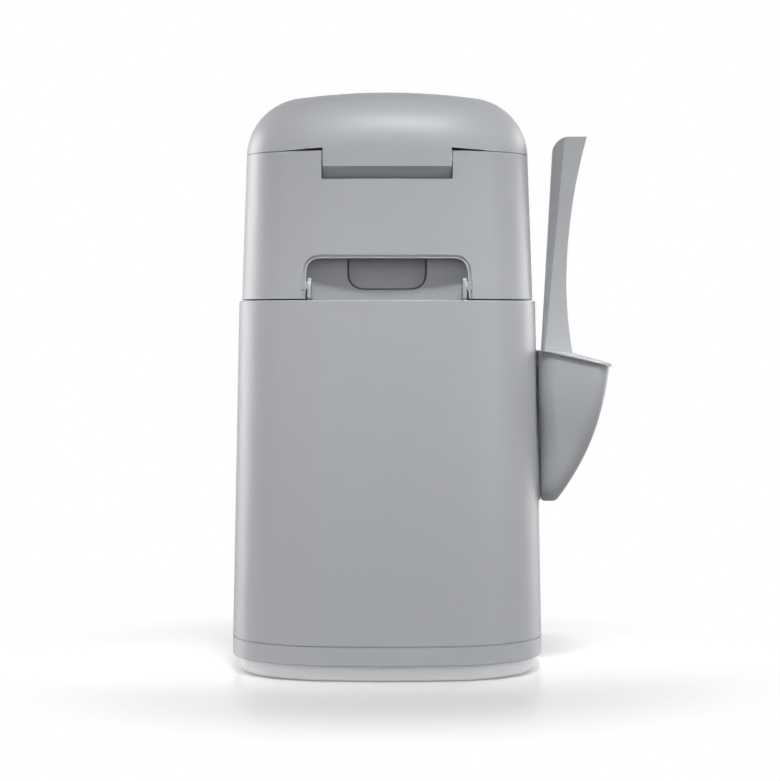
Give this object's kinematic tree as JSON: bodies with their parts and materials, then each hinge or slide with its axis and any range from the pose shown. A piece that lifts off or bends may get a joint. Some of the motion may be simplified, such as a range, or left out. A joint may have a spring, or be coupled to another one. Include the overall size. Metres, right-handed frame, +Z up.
{
  "type": "litter disposal pail",
  "caption": "Free-standing pail for used cat litter: drafted bin, tipping head with domed lid, sprung shutter over the film throat, push latch, and a slotted scoop in a side holder.",
  "frame": {"origin": "middle of the centre foot's face, on the floor the pail stands on", "axes": "+Z up, +Y towards the front (latch button and pull handle), -Y the hinge side, +X towards the scoop"},
  "size_m": [0.2867, 0.2436, 0.4314],
  "materials": {
    "shell_grey": "fine spark-eroded grain",
    "plinth_grey": "fine grain, slightly lighter",
    "holder_grey": "fine grain",
    "scoop_grey": "satin",
    "inner_grey": "satin",
    "slide_white": "smooth, low friction",
    "cartridge_blue": "satin",
    "film_white": "thin film, soft gloss",
    "rubber_black": "moulded",
    "seal_grey": "moulded",
    "steel": "zinc plated",
    "spring_steel": "drawn wire"
  },
  "bodies": {
    "bin": {"bin_shell": "shell_grey", "base_plinth": "plinth_grey", "rubber_feet": "rubber_black", "base_screws": "steel", "hinge_pins": "steel", "cutter_housing": "inner_grey", "cutter_blade": "steel", "cutter_screws": "steel", "holder_bracket": "holder_grey", "bracket_screws": "steel"},
    "head": {"head_shell": "shell_grey", "head_collar": "inner_grey", "throat_funnel": "inner_grey", "deck_screws": "steel", "cartridge_tray": "cartridge_blue", "cartridge_cap": "cartridge_blue", "film_pack": "film_white", "film_sleeve": "film_white", "shutter_frame": "inner_grey", "shutter_cover": "inner_grey", "frame_screws": "steel", "post_screws": "steel", "fixed_jaw": "inner_grey", "fixed_jaw_seal": "seal_grey", "return_springs": "spring_steel", "latch_spring": "spring_steel", "lid_hinge_pin": "steel"},
    "lid": {"lid_shell": "shell_grey", "lid_liner": "slide_white", "gasket_channel": "slide_white", "lid_gasket": "seal_grey"},
    "shutter": {"shutter_plate": "slide_white", "moving_jaw_seal": "seal_grey", "pull_handle": "shell_grey", "handle_screws": "steel"},
    "latch": {"latch_button": "shell_grey"},
    "holder": {"scoop_holder": "holder_grey"},
    "scoop": {"scoop": "scoop_grey"}
  },
  "joints": [
    {"name": "head_hinge", "type": "hinge", "parent": "bin", "child": "head", "pos_m": [0, -0.1003, 0.285], "axis": [1, 0, 0], "range_deg": [0, 100]},
    {"name": "lid_hinge", "type": "hinge", "parent": "head", "child": "lid", "pos_m": [0, -0.09691, 0.3765], "axis": [1, 0, 0], "range_deg": [0, 95]},
    {"name": "shutter_slide", "type": "slide", "parent": "head", "child": "shutter", "axis": [0, 1, 0], "range_m": [0, 0.072], "stiffness_N_per_m": 120, "springref_m": -0.03, "deforming": ["return_springs"]},
    {"name": "latch_press", "type": "slide", "parent": "head", "child": "latch", "axis": [0, -1, 0], "range_m": [0, 0.0035], "stiffness_N_per_m": 900, "springref_m": -0.003, "deforming": ["latch_spring"]},
    {"name": "holder_lift", "type": "slide", "parent": "bin", "child": "holder", "axis": [0, 0, 1], "range_m": [0, 0.075]},
    {"name": "scoop_lift", "type": "slide", "parent": "holder", "child": "scoop", "axis": [0, 0, 1], "range_m": [0, 0.12]}
  ]
}
